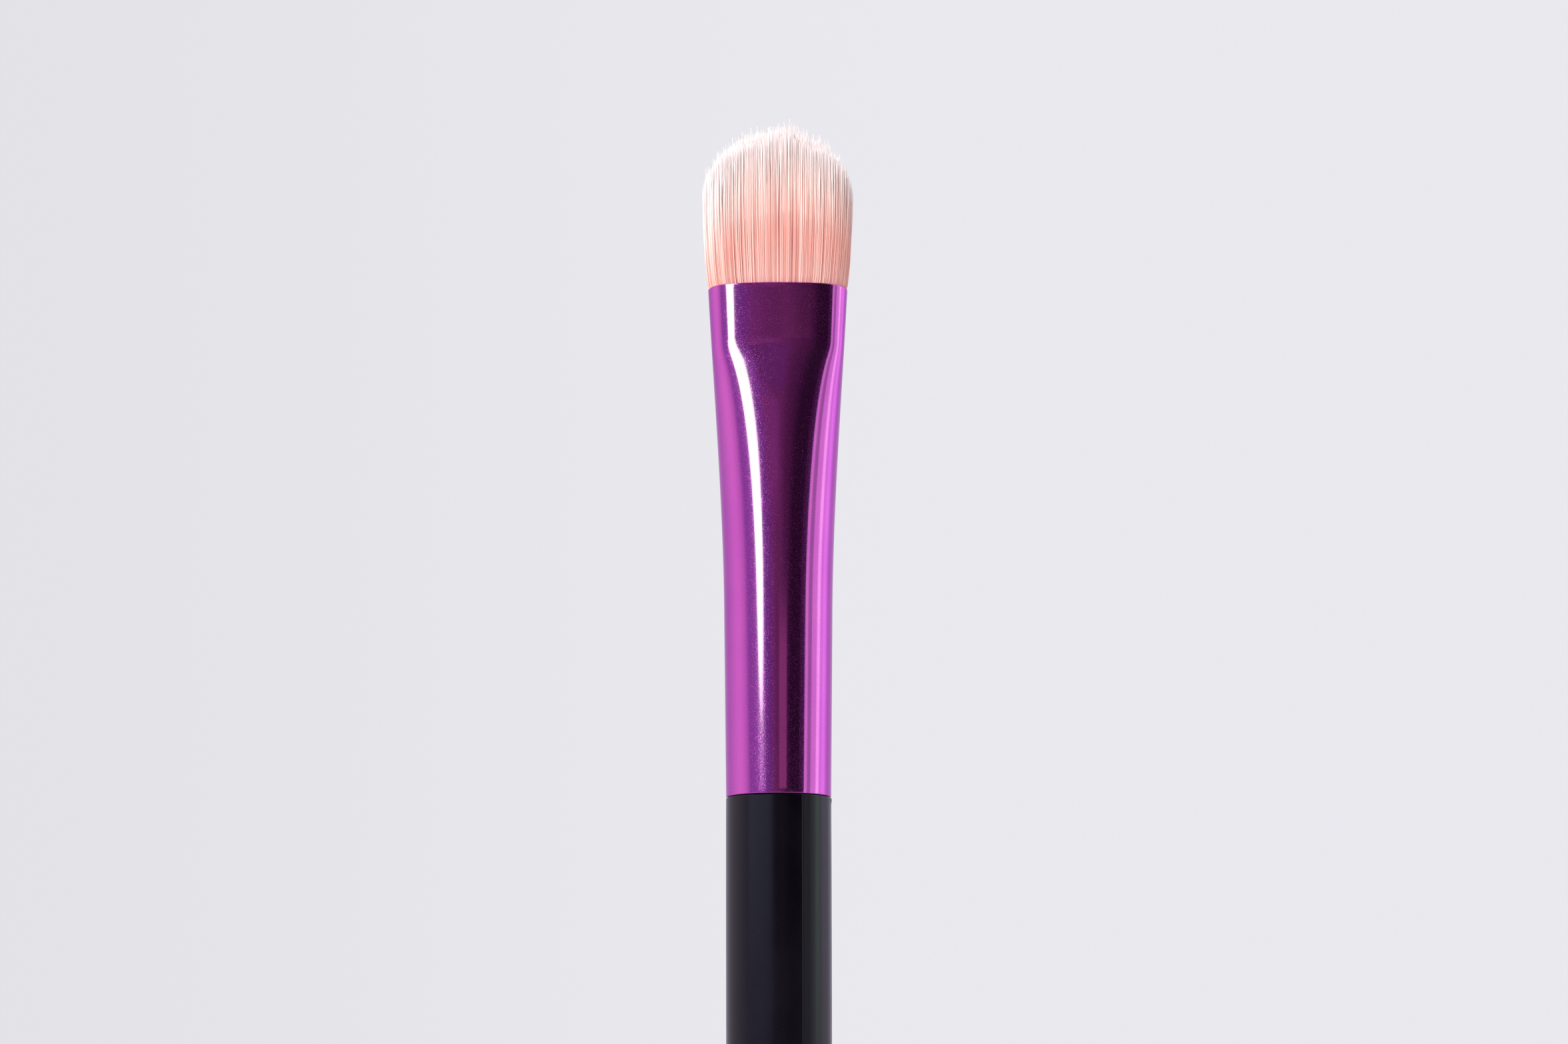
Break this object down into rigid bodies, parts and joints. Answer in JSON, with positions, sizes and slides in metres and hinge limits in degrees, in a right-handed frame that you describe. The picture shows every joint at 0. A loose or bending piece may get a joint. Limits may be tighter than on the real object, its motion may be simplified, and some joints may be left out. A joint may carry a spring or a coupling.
{
  "type": "concealer brush",
  "caption": "Flat round-topped cosmetic brush with a flattened anodised ferrule and a slim round black handle.",
  "frame": {"origin": "centre of the small flat on the handle's tail, the lowest point of the upright brush", "axes": "+Z along the brush from the tail to the bristle tips, +X across the wide way of the flattened mouth, -Y out of the broad face that the picture shows"},
  "size_m": [0.0114, 0.008, 0.171],
  "materials": {
    "handle_plastic": "satin black moulded plastic",
    "anodised_aluminium": "polished aluminium, anodised purple-magenta, lacquered",
    "epoxy": "cured amber adhesive, hidden inside",
    "bristle_fibre": "synthetic filaments, salmon pink at the roots and white at the tips"
  },
  "bodies": {
    "root": {"handle": "handle_plastic", "handle_glue": "epoxy", "ferrule": "anodised_aluminium", "root_glue_plug": "epoxy", "bristle_tuft": "bristle_fibre"}
  },
  "joints": []
}
